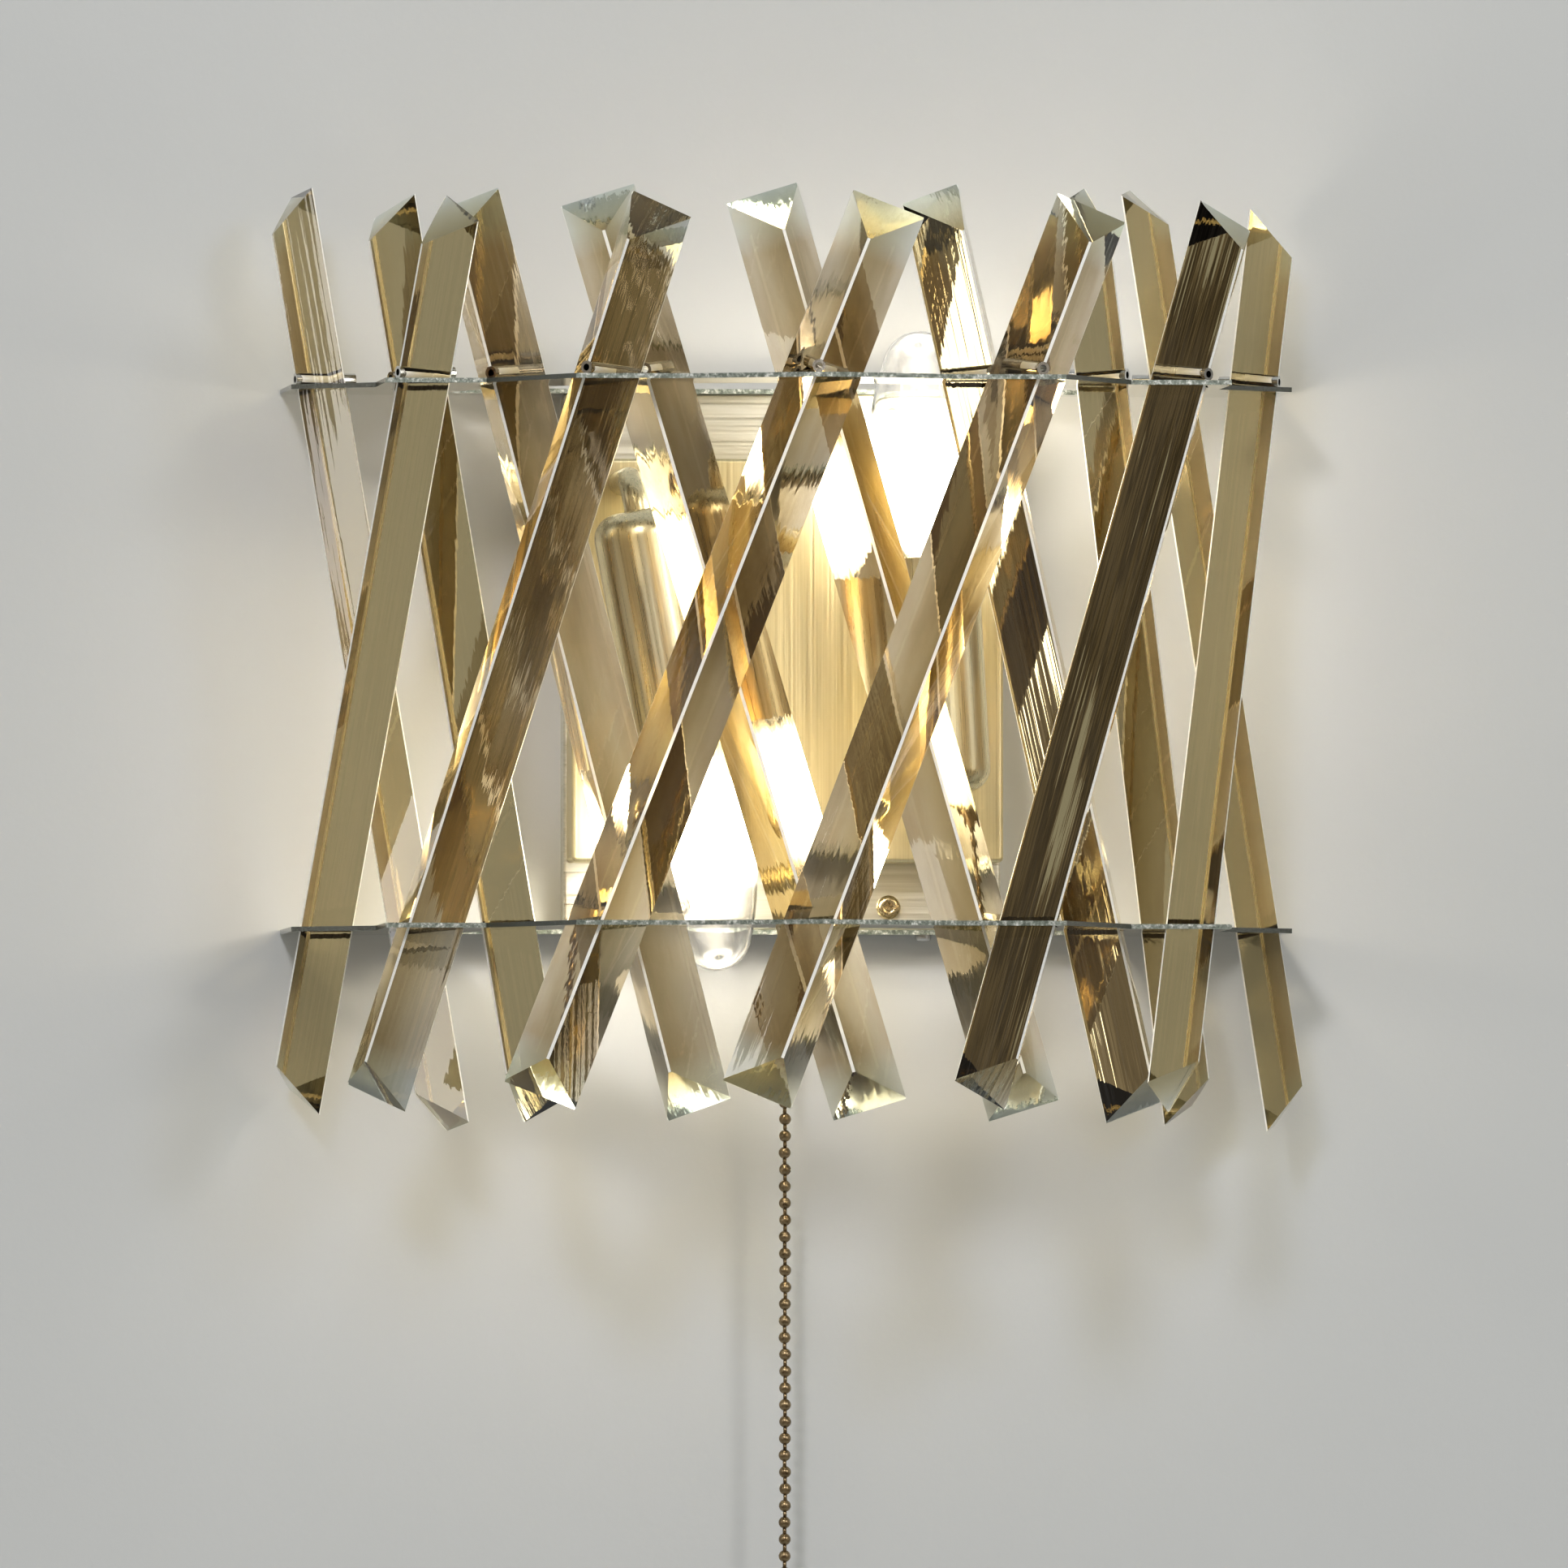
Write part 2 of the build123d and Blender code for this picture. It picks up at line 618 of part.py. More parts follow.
with BuildPart() as switch_ferrule:
    with BuildSketch(Plane.XY.offset(ferrule_top)):
        with Locations((0, CHAIN_Y)):
            Circle(FERRULE_R)
            Circle(FERRULE_BORE_R, mode=Mode.SUBTRACT)
    extrude(amount=-FERRULE_LEN)
finish(switch_ferrule.part, "switch_ferrule")

with BuildPart() as switch_nut:
    with BuildSketch(Plane.XY.offset(box_floor)):
        with Locations((0, CHAIN_Y)):
            Circle(FERRULE_NUT_R)
            Circle(FERRULE_R + FIT_GAP, mode=Mode.SUBTRACT)
    extrude(amount=-FERRULE_NUT_H)
    rims = switch_nut.edges().filter_by(GeomType.CIRCLE).sort_by(SortBy.RADIUS)[-2:]
    chamfer(rims, FERRULE_NUT_CHAMFER)
finish(switch_nut.part, "switch_nut")

spring_len = PULL_TRAVEL + SPRING_ROOM
plunger_low = ferrule_top + spring_len
with BuildPart() as switch_plunger:
    with BuildSketch(Plane.XY.offset(plunger_low)):
        with Locations((0, CHAIN_Y)):
            Circle(FERRULE_R)
    extrude(amount=PLUNGER_H)
    with BuildSketch(Plane.XY.offset(plunger_low)):
        with Locations((0, CHAIN_Y)):
            Circle(PLUNGER_ROD_R)
    extrude(amount=-(plunger_low - CHAIN_TOP))
finish(switch_plunger.part, "switch_plunger")

with BuildPart() as switch_spring:
    coil_h = spring_len - 2 * SPRING_WIRE_R - 2 * FIT_GAP
    coil_start = ferrule_top + SPRING_WIRE_R + FIT_GAP
    with BuildLine():
        coil = Helix(
            pitch=coil_h / SPRING_TURNS, height=coil_h, radius=SPRING_R,
            center=(0, CHAIN_Y, coil_start),
        )
    with BuildSketch(Plane(origin=coil @ 0, z_dir=coil % 0)):
        Circle(SPRING_WIRE_R)
    sweep(path=coil, is_frenet=True)
finish(switch_spring.part, "switch_spring")

chain_end = CHAIN_TOP - BEADS * BEAD_PITCH
with BuildPart() as pull_chain:
    with BuildSketch(Plane(origin=(0, CHAIN_Y, 0), x_dir=(1, 0, 0), z_dir=(0, -1, 0))):
        with BuildLine():
            half_ball = sqrt(BEAD_R**2 - BEAD_LINK_R**2)
            Line((0, CHAIN_TOP), (BEAD_LINK_R, CHAIN_TOP))
            level = CHAIN_TOP
            for i in range(BEADS):
                centre = CHAIN_TOP - (i + 0.5) * BEAD_PITCH
                Line((BEAD_LINK_R, level), (BEAD_LINK_R, centre + half_ball))
                ThreePointArc(
                    (BEAD_LINK_R, centre + half_ball),
                    (BEAD_R, centre),
                    (BEAD_LINK_R, centre - half_ball),
                )
                level = centre - half_ball
            Line((BEAD_LINK_R, level), (BEAD_LINK_R, chain_end))
            Line((BEAD_LINK_R, chain_end), (0, chain_end))
            Line((0, chain_end), (0, CHAIN_TOP))
        make_face()
    revolve(axis=Axis((0, CHAIN_Y, 0), (0, 0, 1)))
finish(pull_chain.part, "pull_chain")

with BuildPart() as chain_bell:
    with BuildSketch(Plane(origin=(0, CHAIN_Y, chain_end), x_dir=(1, 0, 0), z_dir=(0, -1, 0))):
        with BuildLine():
            flare_end = (BELL_R, BELL_RIM - BELL_LEN)
            Line((0, 0), (BELL_NECK_R, 0))
            TangentArc((BELL_NECK_R, 0), flare_end, tangent=(0.05, -1))
            Line(flare_end, (BELL_R, -BELL_LEN))
            Line((BELL_R, -BELL_LEN), (0, -BELL_LEN))
            Line((0, -BELL_LEN), (0, 0))
        make_face()
    revolve(axis=Axis((0, CHAIN_Y, 0), (0, 0, 1)))
finish(chain_bell.part, "chain_bell")

# ---- wiring in the box ----
with BuildPart() as terminal_block:
    with Locations((0, -PAN_D - BLOCK_D / 2, BLOCK_Z)):
        Box(BLOCK_W, BLOCK_D, BLOCK_H)
    fillet(terminal_block.edges().filter_by(Axis.Y), 1.0)
    with BuildSketch(Plane.XY.offset(BLOCK_Z - BLOCK_H / 2)):
        with Locations((-POLE_STEP, LEAD_Y), (0, LEAD_Y), (POLE_STEP, LEAD_Y)):
            Circle(LEAD_R + 4 * EASY_GAP)
    extrude(amount=BLOCK_H, mode=Mode.SUBTRACT)
    with BuildSketch(Plane(origin=(0, -PAN_D - BLOCK_D, BLOCK_Z), z_dir=(0, 1, 0))):
        with GridLocations(POLE_STEP, BLOCK_H / 2, 3, 2):
            Circle(TERMINAL_SCREW_R + EASY_GAP)
    extrude(amount=2.5 * TERMINAL_SCREW_H, mode=Mode.SUBTRACT)
finish(terminal_block.part, "terminal_block")

with BuildPart() as terminal_screws:
    with BuildSketch(Plane(origin=(0, -PAN_D - BLOCK_D + TERMINAL_SCREW_H, BLOCK_Z), z_dir=(0, 1, 0))):
        with GridLocations(POLE_STEP, BLOCK_H / 2, 3, 2):
            Circle(TERMINAL_SCREW_R)
    extrude(amount=TERMINAL_SCREW_H)
finish(terminal_screws.part, "terminal_screws")

with BuildPart() as switch_lead:
    with BuildLine():
        body_top = box_floor + BOX_T + SWITCH_H
        block_low = BLOCK_Z - BLOCK_H / 2
        slack = 7.0
        switch_line = FilletPolyline(
            (0, LEAD_Y, body_top), (0, LEAD_Y, body_top + slack + 1.0), (slack, LEAD_Y, 0),
            (0, LEAD_Y, block_low - slack), (0, LEAD_Y, block_low + 1.0),
            radius=12.0,
        )
    with BuildSketch(Plane(origin=switch_line @ 0, z_dir=switch_line % 0)):
        Circle(LEAD_R)
    sweep(path=switch_line)
finish(switch_lead.part, "switch_lead")

earth_seat = Plane(
    origin=(EARTH_X, -PAN_D - WASHER_T, EARTH_Z), x_dir=(1, 0, 0), z_dir=(0, -1, 0)
)
screw_group("earth_screw", [earth_seat], **EARTH_SCREW)
with BuildPart() as earth_washer:
    with BuildSketch(earth_seat):
        Circle(WASHER_R)
        Circle(WASHER_BORE_R, mode=Mode.SUBTRACT)
    extrude(amount=-WASHER_T)
finish(earth_washer.part, "earth_washer")
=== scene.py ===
"""Looks of the crystal wall sconce: smoky prisms, brushed brass, lit candle bulbs, bead chain.

Frame: metres, +Z up, wall plane at y = 0 with the room towards -Y, x to the right.
"""
import bpy
import math
import random
from mathutils import Matrix, Vector


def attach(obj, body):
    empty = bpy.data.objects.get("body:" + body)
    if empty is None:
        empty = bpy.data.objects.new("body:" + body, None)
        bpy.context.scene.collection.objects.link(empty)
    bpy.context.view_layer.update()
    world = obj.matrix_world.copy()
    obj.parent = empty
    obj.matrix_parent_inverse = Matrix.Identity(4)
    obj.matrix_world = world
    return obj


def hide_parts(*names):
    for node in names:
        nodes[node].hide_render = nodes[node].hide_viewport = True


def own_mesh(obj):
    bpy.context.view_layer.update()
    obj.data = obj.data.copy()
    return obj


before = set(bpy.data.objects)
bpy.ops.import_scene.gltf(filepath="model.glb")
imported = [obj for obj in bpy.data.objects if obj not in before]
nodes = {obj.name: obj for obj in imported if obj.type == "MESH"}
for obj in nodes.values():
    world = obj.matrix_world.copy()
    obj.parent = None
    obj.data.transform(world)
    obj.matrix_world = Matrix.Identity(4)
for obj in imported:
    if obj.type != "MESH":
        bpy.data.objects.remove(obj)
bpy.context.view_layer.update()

# ---- driving values: metres and degrees ----
FIXTURE = "fixture"
PULL = "pull"

PHOTO_WIDTH = 0.4904          # width of the photographed frame at the object
CAMERA_AIM = Vector((-0.0053, -0.080, -0.040))
CAMERA_DISTANCE = 12.0
CAMERA_AZIMUTH = 4.9          # to the object's left
CAMERA_BELOW = 1.45           # below the level
CAMERA_REACH = 60.0
SENSOR = 36.0                 # millimetres

WALL_HALF = 2.5
WALL_BEHIND = 0.0004          # from the object's back to the paint
ROOM_R = 4.5
ROOM_CENTRE_Y = -0.3
ROOM_STEPS = 48
STRIP_R = 3.0

RING_CENTRE = Vector((0.0, -0.010, 0.0))      # on the axis of both rings of rods
ROD_HALF = 0.149
CRYSTAL_IOR = 1.54
# Faces of a rod, by the share of their normal along its axis, its ridge and its side.
END_OVER, BACK_UNDER, RIDGE_OVER, CORNER_OVER = 0.4, -0.6, 0.9, 0.85
SMOKE = ((0.34, (0.34, 0.23, 0.12)), (0.50, (0.58, 0.45, 0.30)), (0.66, (0.80, 0.69, 0.55)))
SMOKE_FADES, SMOKE_GONE = 0.018, 0.009    # from a rod's end
PLAIN_GLASS = (0.9, 0.88, 0.82)
CLEAR_BACK = (0.84, 0.93, 0.93)
SIDE_GLASS = (0.97, 0.97, 0.95)
END_GLASS = (0.84, 0.95, 0.98)
GROUND_EDGE = (0.93, 0.93, 0.90)
EDGE_ROUGHNESS = 0.3
EDGE_MILK = 0.75              # share of the light that a ground edge keeps out
STREAK_TILT, WAVE_TILT, WAVE_SIDE_TILT = 0.11, 0.035, 0.02
SHADOW_FILM = (0.98, 0.98, 0.98)
BODY_COLOUR = (0.62, 0.51, 0.17, 1.0)
BODY_DENSITY = 92.0

CHAIN_Y = -0.0216
CHAIN_TOP = -0.062            # at the switch plunger
BEAD_R = 0.0019
BEAD_PITCH = 0.00528
BEAD_LINK_R = 0.0006
BEADS = 45
BEAD_SIDES = 24
BEAD_ARC = range(20, 161, 10)     # degrees from the upper pole
LINK_END = 0.82               # from a bead's centre, in bead radii
DIMPLE_RIM = 0.86             # of the flat pole's radius
DIMPLE_DEPTH = 0.07           # in bead radii
CHAIN_SWAY = 0.00012          # most that a bead lies off the line

# Lamps: closed end of the cup, lean in degrees, bulb down (1) or up (-1), length to the tip.
LAMPS = {
    "left": {"end": (-0.0504, -0.068, 0.0459), "lean": 10.4, "down": 1, "length": 0.1465},
    "right": {"end": (0.0460, -0.068, -0.0426), "lean": 3.3, "down": -1, "length": 0.1451},
}
GLASS_START = 0.071           # from the cup's closed end
BULB_GLOW = 11.0
TIP_CLEAR, TIP_LIT = 0.023, 0.045         # from the tip, where the glow ends and is full
NECK_CLEAR, NECK_LIT = 0.004, 0.024       # the same from the start of the glass

SPRING_R = 0.0029
SPRING_WIRE_R = 0.0003
SPRING_LOW = -0.0593          # spring's lower end, on the ferrule
SPRING_LEN = 0.010
SPRING_TURNS = 4
SPRING_STEPS = 24             # in a turn
SPRING_INSET = 2.4            # by which the rise falls short of the length, in wire radii
WIRE_SIDES = 8


def lamp_axis(lamp):
    """Direction from a cup's closed end to the bulb's tip."""
    lean = math.radians(lamp["lean"])
    return Vector((math.sin(lean), 0.0, -math.cos(lean))) * lamp["down"]


# ---- shader helpers ----
class Finish:
    """One material: a Principled shader and the few nodes that feed it."""

    def __init__(self, name, colour, roughness, metallic=0.0, **sockets):
        self.material = bpy.data.materials.new(name)
        self.material.use_nodes = True
        self.tree = self.material.node_tree
        self.shader = self.tree.nodes["Principled BSDF"]
        self.set("Base Color", (*colour, 1.0))
        self.set("Roughness", roughness)
        self.set("Metallic", metallic)
        for socket, value in sockets.items():
            self.set(socket.replace("_", " "), value)

    def set(self, socket, value):
        self.shader.inputs[socket].default_value = value

    def node(self, kind, **settings):
        made = self.tree.nodes.new(kind)
        for key, value in settings.items():
            setattr(made, key, value)
        return made

    def link(self, source, target):
        self.tree.links.new(source, target)

    def feed(self, socket, source):
        self.link(source, self.shader.inputs[socket])

    def put(self, value, target):
        """Links a socket, or sets a number or a colour of three numbers."""
        if isinstance(value, bpy.types.NodeSocket):
            self.link(value, target)
        elif isinstance(value, tuple):
            target.default_value = (*value, 1.0)
        else:
            target.default_value = value

    def place(self, turn=None, origin=(0, 0, 0), stretch=(1, 1, 1)):
        """Coordinates in the row frame, turned by a matrix about an origin, then stretched."""
        turn = turn or Matrix.Identity(3)
        where = self.node("ShaderNodeTexCoord").outputs["Object"]
        mapping = self.node("ShaderNodeMapping")
        mapping.inputs["Rotation"].default_value = turn.to_euler("XYZ")
        mapping.inputs["Location"].default_value = -(turn @ Vector(origin))
        self.link(where, mapping.inputs["Vector"])
        scale = self.node("ShaderNodeVectorMath", operation="MULTIPLY")
        self.link(mapping.outputs["Vector"], scale.inputs[0])
        scale.inputs[1].default_value = stretch
        return scale.outputs["Vector"]

    def noise(self, where, detail=3.0, rough=0.5):
        made = self.node("ShaderNodeTexNoise")
        self.link(where, made.inputs["Vector"])
        for name, value in (("Scale", 1.0), ("Detail", detail), ("Roughness", rough)):
            made.inputs[name].default_value = value
        return made.outputs["Fac"]

    def spread(self, source, low, high, to_low=0.0, to_high=1.0, **settings):
        """Maps a range of a value to another."""
        made = self.node("ShaderNodeMapRange", **settings)
        self.link(source, made.inputs["Value"])
        for name, value in zip(
            ("From Min", "From Max", "To Min", "To Max"), (low, high, to_low, to_high)
        ):
            made.inputs[name].default_value = value
        return made.outputs["Result"]

    def ramp(self, source, *stops):
        """Colour from (place, colour) stops."""
        made = self.node("ShaderNodeValToRGB")
        self.link(source, made.inputs["Fac"])
        elements = made.color_ramp.elements
        while len(elements) < len(stops):
            elements.new(0.5)
        for element, (at, colour) in zip(elements, stops):
            element.position = at
            element.color = (*colour, 1.0)
        return made.outputs["Color"]

    def mix(self, factor, a, b):
        """Mixes two colours, each a socket or three numbers."""
        made = self.node("ShaderNodeMix", data_type="RGBA")
        for index, value in ((0, factor), (6, a), (7, b)):
            self.put(value, made.inputs[index])
        return made.outputs[2]

    def math(self, operation, a, b=0.0):
        made = self.node("ShaderNodeMath", operation=operation)
        self.put(a, made.inputs[0])
        self.put(b, made.inputs[1])
        return made.outputs[0]

    def facing(self, direction):
        """Dot product of a flat face's outward normal with a direction of the row frame."""
        geometry = self.node("ShaderNodeNewGeometry")
        dot = self.node("ShaderNodeVectorMath", operation="DOT_PRODUCT")
        self.link(geometry.outputs["True Normal"], dot.inputs[0])
        dot.inputs[1].default_value = direction
        inside = self.math("MULTIPLY", geometry.outputs["Backfacing"], -2.0)
        return self.math("MULTIPLY", dot.outputs["Value"], self.math("ADD", inside, 1.0))

    def tilt(self, *leans):
        """Normal leant along each direction by a noise about its mean, to a full size."""
        normal = self.node("ShaderNodeNewGeometry").outputs["True Normal"]
        for direction, noise, size in leans:
            step = self.node("ShaderNodeVectorMath", operation="SCALE")
            step.inputs[0].default_value = direction
            lean = self.math("MULTIPLY", self.math("SUBTRACT", noise, 0.5), size)
            self.link(lean, step.inputs["Scale"])
            total = self.node("ShaderNodeVectorMath", operation="ADD")
            self.link(normal, total.inputs[0])
            self.link(step.outputs["Vector"], total.inputs[1])
            normal = total.outputs["Vector"]
        unit = self.node("ShaderNodeVectorMath", operation="NORMALIZE")
        self.link(normal, unit.inputs[0])
        return unit.outputs["Vector"]

    def clear_where(self, hidden, tint=(1.0, 1.0, 1.0)):
        """Turns the finish into tinted clear film where the factor is one."""
        film = self.node("ShaderNodeBsdfTransparent")
        film.inputs["Color"].default_value = (*tint, 1.0)
        mix = self.node("ShaderNodeMixShader")
        self.link(hidden, mix.inputs[0])
        self.link(self.shader.outputs[0], mix.inputs[1])
        self.link(film.outputs[0], mix.inputs[2])
        self.link(mix.outputs[0], self.tree.nodes["Material Output"].inputs["Surface"])

    def shadow_rays(self):
        return self.node("ShaderNodeLightPath").outputs["Is Shadow Ray"]

    def bump(self, height, strength, distance):
        made = self.node("ShaderNodeBump")
        made.inputs["Strength"].default_value = strength
        made.inputs["Distance"].default_value = distance
        self.link(height, made.inputs["Height"])
        return made.outputs["Normal"]


def give(material, *names):
    """Gives CAD nodes a finish."""
    for name in names:
        mesh = nodes[name].data
        mesh.materials.clear()
        mesh.materials.append(material)


def turn_to(axis, side):
    """Rotation into a frame whose z is the axis and whose x is near side."""
    z = Vector(axis).normalized()
    x = (Vector(side) - z * z.dot(Vector(side))).normalized()
    y = z.cross(x)
    return Matrix((x, y, z))


# ---- crystal ----
def main_axis(obj):
    """Long direction of a rod and its middle, from its own points."""
    points = [v.co.copy() for v in obj.data.vertices]
    middle = sum(points, Vector()) / len(points)
    axis = Vector((0.0, 0.0, 1.0))
    for _ in range(40):       # turns the axis to where the points spread most
        step = Vector()
        for p in points:
            d = p - middle
            step += d * d.dot(axis)
        axis = step.normalized()
    reach = [(p - middle).dot(axis) for p in points]
    return axis, middle + axis * (min(reach) + max(reach)) / 2


def crystal(name, obj):
    """Clear prism with a smoky back face, slightly wavy polish and clear mitred ends."""
    axis, middle = main_axis(obj)
    outward = middle - RING_CENTRE
    outward.z = 0.0
    turn = turn_to(axis, outward)
    f = Finish(f"crystal_{name}", PLAIN_GLASS, 0.0, Transmission_Weight=1.0, IOR=CRYSTAL_IOR)
    rise = f.facing(turn[0])
    end = f.math("GREATER_THAN", f.math("ABSOLUTE", f.facing(axis)), END_OVER)
    back = f.math("LESS_THAN", rise, BACK_UNDER)
    edge = f.math(
        "MAXIMUM",
        f.math("GREATER_THAN", rise, RIDGE_OVER),
        f.math("GREATER_THAN", f.math("ABSOLUTE", f.facing(turn[1])), CORNER_OVER),
    )
    clouds = f.noise(f.place(turn, middle, (60, 60, 14)), detail=4.0)
    smoke = f.ramp(clouds, *SMOKE)
    along = f.node("ShaderNodeSeparateXYZ")
    f.link(f.place(turn, middle), along.inputs[0])
    from_middle = f.math("ABSOLUTE", along.outputs["Z"])
    near_end = f.spread(from_middle, ROD_HALF - SMOKE_FADES, ROD_HALF - SMOKE_GONE)
    smoke = f.mix(near_end, smoke, CLEAR_BACK)
    sides = f.mix(back, SIDE_GLASS, smoke)
    polished = f.mix(end, sides, END_GLASS)
    f.feed("Base Color", f.mix(edge, polished, GROUND_EDGE))
    f.feed("Roughness", f.math("MULTIPLY", edge, EDGE_ROUGHNESS))
    f.feed("Transmission Weight", f.math("SUBTRACT", 1.0, f.math("MULTIPLY", edge, EDGE_MILK)))
    streaks = f.noise(f.place(turn, middle, (1100, 1100, 10)), detail=3.0, rough=0.6)
    wave = f.noise(f.place(turn, middle, (50, 50, 16)), detail=1.0)
    leans = (axis, streaks, STREAK_TILT), (axis, wave, WAVE_TILT), (turn[1], wave, WAVE_SIDE_TILT)
    f.feed("Normal", f.tilt(*leans))
    f.clear_where(f.shadow_rays(), SHADOW_FILM)
    body = f.node("ShaderNodeVolumeAbsorption")
    body.inputs["Color"].default_value = BODY_COLOUR
    body.inputs["Density"].default_value = BODY_DENSITY
    f.link(body.outputs[0], f.tree.nodes["Material Output"].inputs["Volume"])
    return f.material


for rod_name in sorted(n for n in nodes if n.startswith("rod_") and n != "rod_pins"):
    give(crystal(rod_name, nodes[rod_name]), rod_name)


# ---- metals ----
def brushed(name, dark, light, roughness, stretch, turn=None, origin=(0, 0, 0), depth=0.00004):
    """Brushed metal: fine lines along the low number of stretch, in tone, gloss and relief."""
    f = Finish(name, light, roughness, metallic=1.0)
    lines = f.noise(f.place(turn, origin, stretch), detail=6.0, rough=0.7)
    clouds = f.noise(f.place(turn, origin, (22, 22, 22)), detail=3.0)
    tone = f.mix(f.spread(lines, 0.3, 0.7), dark, light)
    f.feed("Base Color", f.mix(f.spread(clouds, 0.3, 0.75, 0.0, 0.35), tone, dark))
    f.feed("Roughness", f.spread(lines, 0.25, 0.75, roughness * 0.75, roughness * 1.35))
    f.feed("Normal", f.bump(lines, 0.4, depth))
    return f.material


give(
    brushed("pan_brass", (0.62, 0.61, 0.52), (0.86, 0.85, 0.78), 0.32, (9, 200, 1100)),
    "base_pan",
)
give(
    brushed("box_brass", (0.62, 0.54, 0.31), (0.80, 0.71, 0.45), 0.35, (2400, 200, 9)),
    "cover_box",
)
for side_name, lamp in LAMPS.items():
    cup_turn = turn_to(lamp_axis(lamp), (1, 0, 0))
    give(
        brushed(
            f"cup_brass_{side_name}", (0.70, 0.61, 0.36), (0.93, 0.86, 0.62), 0.28,
            (900, 900, 7), cup_turn, lamp["end"], depth=0.00002,
        ),
        f"cup_{side_name}", f"stem_{side_name}",
    )
give(
    brushed("screw_brass", (0.40, 0.31, 0.16), (0.72, 0.60, 0.38), 0.26, (700, 700, 700)),
    "pan_screws",
)
give(
    brushed("bronze_old", (0.13, 0.085, 0.04), (0.42, 0.31, 0.17), 0.34, (400, 400, 400)),
    "switch_nut", "switch_ferrule", "chain_bell",
)
zinc = brushed("zinc", (0.46, 0.47, 0.48), (0.70, 0.71, 0.72), 0.34, (300, 300, 300))
give(
    zinc, "wall_bracket", "cover_screws", "plate_screws", "stem_nuts", "cup_nuts",
    "terminal_screws", "switch_plunger", "earth_screw", "earth_washer",
)
give(
    brushed("pin_chrome", (0.55, 0.55, 0.53), (0.82, 0.82, 0.80), 0.09, (500, 500, 40)),
    "rod_pins",
)


def plate_metal():
    """Polished plate. Its edge has a chipped relief; along the wall the edge is mottled dark and
    pale, and its other facets are painted dark as painted shade.
    """
    f = Finish("plate_metal", (0.66, 0.67, 0.63), 0.06, metallic=1.0)
    edge = f.math("LESS_THAN", f.math("ABSOLUTE", f.facing((0, 0, 1))), 0.5)
    along = f.math("GREATER_THAN", f.math("ABSOLUTE", f.facing((0, 1, 0))), 0.9)
    chips = f.noise(f.place(stretch=(700, 700, 700)), detail=5.0, rough=0.75)
    rough_edge = f.ramp(
        chips, (0.38, (0.10, 0.12, 0.10)), (0.52, (0.24, 0.27, 0.24)), (0.66, (0.74, 0.76, 0.73))
    )
    # Painted shade: edge facets that don't lie along the wall are darkened because of the way they
    # face.
    painted_shade_edge = f.mix(chips, (0.07, 0.075, 0.065), (0.20, 0.21, 0.19))
    stain = f.noise(f.place(stretch=(30, 30, 30)), detail=4.0)
    face = f.mix(f.spread(stain, 0.35, 0.7), (0.60, 0.61, 0.56), (0.74, 0.75, 0.71))
    f.feed("Base Color", f.mix(edge, face, f.mix(along, painted_shade_edge, rough_edge)))
    rough_side = f.math("MULTIPLY", f.math("MULTIPLY", edge, along), 0.35)
    f.feed("Roughness", f.math("ADD", rough_side, f.spread(stain, 0.3, 0.7, 0.04, 0.12)))
    f.feed("Normal", f.bump(f.math("MULTIPLY", chips, edge), 0.6, 0.0003))
    return f.material


give(plate_metal(), "top_plate", "bottom_plate")


# ---- bulbs and holders ----
def bulb_glass(name, lamp):
    """Clear envelope, lit round its belly and clear at the tip and the neck."""
    f = Finish(
        f"bulb_{name}", (1.0, 1.0, 1.0), 0.0, Transmission_Weight=1.0, IOR=1.46,
        Emission_Color=(1.0, 0.92, 0.76, 1.0),
    )
    split = f.node("ShaderNodeSeparateXYZ")
    f.link(f.place(turn_to(lamp_axis(lamp), (1, 0, 0)), lamp["end"]), split.inputs[0])
    tip = lamp["length"]
    fades = [
        f.spread(split.outputs["Z"], dark, lit, interpolation_type="SMOOTHSTEP")
        for dark, lit in (
            (tip - TIP_CLEAR, tip - TIP_LIT), (GLASS_START + NECK_CLEAR, GLASS_START + NECK_LIT)
        )
    ]
    f.feed("Emission Strength", f.math("MULTIPLY", f.math("MINIMUM", *fades), BULB_GLOW))
    f.clear_where(f.shadow_rays())
    return f.material


def moulded(name, colour, roughness):
    """Moulded plastic with a faint grain."""
    f = Finish(name, colour, roughness)
    grain = f.noise(f.place(stretch=(900, 900, 900)), detail=3.0)
    shade = tuple(0.82 * c for c in colour)
    f.feed("Base Color", f.mix(f.spread(grain, 0.3, 0.7), shade, colour))
    f.feed("Normal", f.bump(grain, 0.25, 0.00006))
    return f.material


def filament_glow():
    """Hot wire, uneven along its length."""
    f = Finish("filament_glow", (0.3, 0.25, 0.2), 0.4, Emission_Color=(1.0, 0.78, 0.45, 1.0))
    grain = f.noise(f.place(stretch=(2000, 2000, 2000)))
    f.feed("Emission Strength", f.spread(grain, 0.2, 0.8, 18.0, 30.0))
    return f.material


def support_glass():
    """Clear stem that carries the filament, with small seeds."""
    f = Finish("bulb_support", (0.97, 0.97, 0.96), 0.02, Transmission_Weight=1.0, IOR=1.5)
    seeds = f.noise(f.place(stretch=(300, 300, 300)))
    f.feed("Normal", f.bump(seeds, 0.2, 0.0001))
    return f.material


